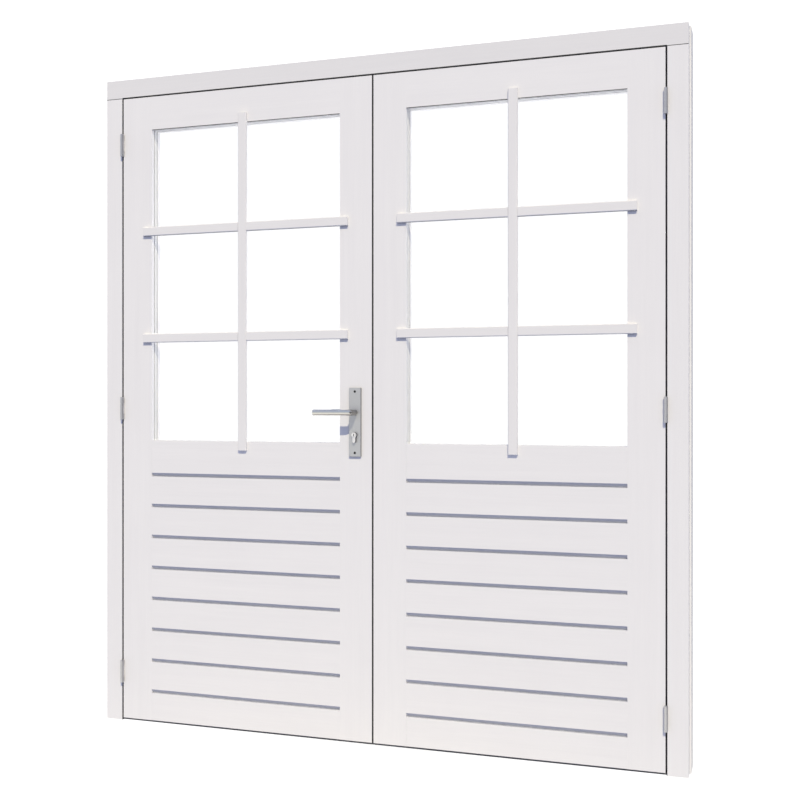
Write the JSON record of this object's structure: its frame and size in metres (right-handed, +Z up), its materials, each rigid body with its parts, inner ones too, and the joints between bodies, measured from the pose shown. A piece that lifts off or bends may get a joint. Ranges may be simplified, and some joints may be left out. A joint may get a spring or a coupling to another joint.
{
  "type": "french doors",
  "caption": "White timber double garden doors in their frame, opening outwards, with glazing bars over double glass, lapped boards below, a lever handle, a lock and flush bolts.",
  "frame": {"origin": "on the floor, at the middle of the frame's width and of the shut leaves' thickness", "axes": "+Z up, +X to the right seen from outside, -Y towards the outside, where the leaves open to"},
  "size_m": [1.962, 0.177, 2.2],
  "materials": {
    "painted_timber": "satin white paint over fine grain",
    "threshold_composite": "matt dark glass-fibre composite",
    "seal_rubber": "matt black rubber",
    "glass": "clear float glass",
    "spacer": "satin",
    "hardware_steel": "satin zinc-plated steel",
    "handle_metal": "satin brushed"
  },
  "bodies": {
    "frame": {"head": "painted_timber", "left_post": "painted_timber", "right_post": "painted_timber", "threshold": "threshold_composite", "frame_seals": "seal_rubber", "left_frame_hinges": "hardware_steel", "right_frame_hinges": "hardware_steel", "hinge_pins": "hardware_steel", "head_keep": "hardware_steel", "frame_screws": "hardware_steel"},
    "left_leaf": {"left_hinge_stile": "painted_timber", "left_lock_stile": "painted_timber", "left_top_rail": "painted_timber", "left_middle_rail": "painted_timber", "left_bottom_rail": "painted_timber", "left_boards": "painted_timber", "left_glass": "glass", "left_glass_spacer": "spacer", "left_glass_seals": "seal_rubber", "left_glass_beads": "painted_timber", "left_vertical_bar": "painted_timber", "left_horizontal_bars": "painted_timber", "left_leaf_hinges": "hardware_steel", "left_leaf_screws": "hardware_steel", "lock_case": "hardware_steel", "lock_cover": "hardware_steel", "cylinder_body": "hardware_steel", "cylinder_screw": "hardware_steel", "outer_plate": "handle_metal", "inner_plate": "handle_metal", "plate_screws": "hardware_steel"},
    "right_leaf": {"right_hinge_stile": "painted_timber", "right_meeting_stile": "painted_timber", "right_top_rail": "painted_timber", "right_middle_rail": "painted_timber", "right_bottom_rail": "painted_timber", "right_boards": "painted_timber", "right_glass": "glass", "right_glass_spacer": "spacer", "right_glass_seals": "seal_rubber", "right_glass_beads": "painted_timber", "right_vertical_bar": "painted_timber", "right_horizontal_bars": "painted_timber", "right_leaf_hinges": "hardware_steel", "right_leaf_screws": "hardware_steel", "strike_plate": "hardware_steel", "top_bolt_case": "hardware_steel", "bottom_bolt_case": "hardware_steel"},
    "lever": {"outer_lever": "handle_metal", "inner_lever": "handle_metal", "spindle": "hardware_steel", "follower": "hardware_steel", "grub_screws": "hardware_steel"},
    "latch": {"latch_bolt": "hardware_steel"},
    "lock_bolt": {"dead_bolt": "hardware_steel"},
    "key_plug": {"cylinder_plug": "hardware_steel"},
    "top_bolt": {"top_flush_bolt": "hardware_steel"},
    "bottom_bolt": {"bottom_flush_bolt": "hardware_steel"}
  },
  "joints": [
    {"name": "left_swing", "type": "hinge", "parent": "frame", "child": "left_leaf", "pos_m": [-0.912, -0.0345, 1.071], "axis": [0, 0, -1], "range_deg": [0, 170]},
    {"name": "right_swing", "type": "hinge", "parent": "frame", "child": "right_leaf", "pos_m": [0.912, -0.0345, 1.071], "axis": [0, 0, 1], "range_deg": [0, 170]},
    {"name": "lever_turn", "type": "hinge", "parent": "left_leaf", "child": "lever", "pos_m": [-0.058, 0, 1.06], "axis": [0, -1, 0], "range_deg": [0, 40], "stiffness_Nm_per_rad": 1.5, "springref_deg": -28.65},
    {"name": "latch_slide", "type": "slide", "parent": "left_leaf", "child": "latch", "axis": [1, 0, 0], "range_m": [0, 0.012]},
    {"name": "key_turn", "type": "hinge", "parent": "left_leaf", "child": "key_plug", "pos_m": [-0.058, 0, 0.988], "axis": [0, 1, 0], "range_deg": [0, 360]},
    {"name": "dead_bolt_slide", "type": "slide", "parent": "left_leaf", "child": "lock_bolt", "axis": [1, 0, 0], "range_m": [0, 0.02]},
    {"name": "top_bolt_slide", "type": "slide", "parent": "right_leaf", "child": "top_bolt", "axis": [0, 0, 1], "range_m": [0, 0.014]},
    {"name": "bottom_bolt_slide", "type": "slide", "parent": "right_leaf", "child": "bottom_bolt", "axis": [0, 0, -1], "range_m": [0, 0.0075]}
  ],
  "couplings": [
    {"joint": "key_turn", "follows": "dead_bolt_slide", "rad_per_m": 314.16}
  ]
}
